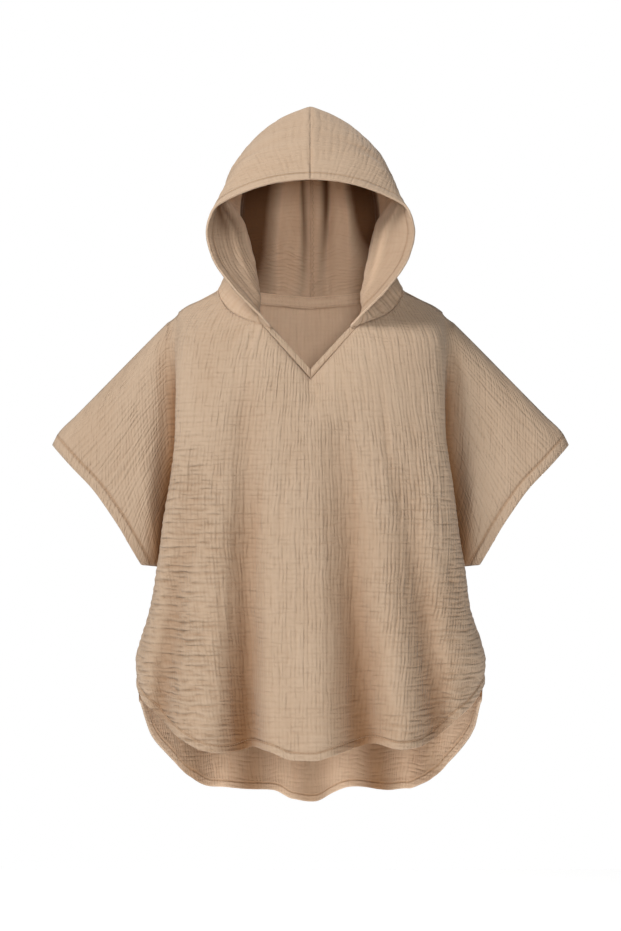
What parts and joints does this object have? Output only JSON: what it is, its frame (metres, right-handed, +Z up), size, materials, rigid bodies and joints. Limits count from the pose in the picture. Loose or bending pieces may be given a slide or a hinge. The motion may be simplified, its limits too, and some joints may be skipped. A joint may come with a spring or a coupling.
{
  "type": "child's hooded bath poncho in crinkled double gauze, filled out as worn",
  "caption": "Hooded poncho with kimono sleeves, a V neck, side vents and a longer rounded back hem, hollow and filled out as it hangs when worn.",
  "frame": {"origin": "middle of the neck, level with the top of the shoulder line, where the wearer's shoulders hold the garment", "axes": "+Z up; the front faces -Y; +X to the right of someone looking at the front"},
  "size_m": [0.6708, 0.2666, 0.9223],
  "materials": {
    "cloth": "matt crinkled double gauze, undyed-looking warm beige, with a faint soft sheen",
    "band": "the same gauze, folded and topstitched",
    "tape": "the same gauze as a narrow flat tape, edge stitched"
  },
  "bodies": {
    "root": {"front_panel": "cloth", "back_panel": "cloth", "hood_left": "cloth", "hood_right": "cloth", "v_band_left": "band", "v_band_right": "band", "neck_tape": "tape"}
  },
  "joints": []
}
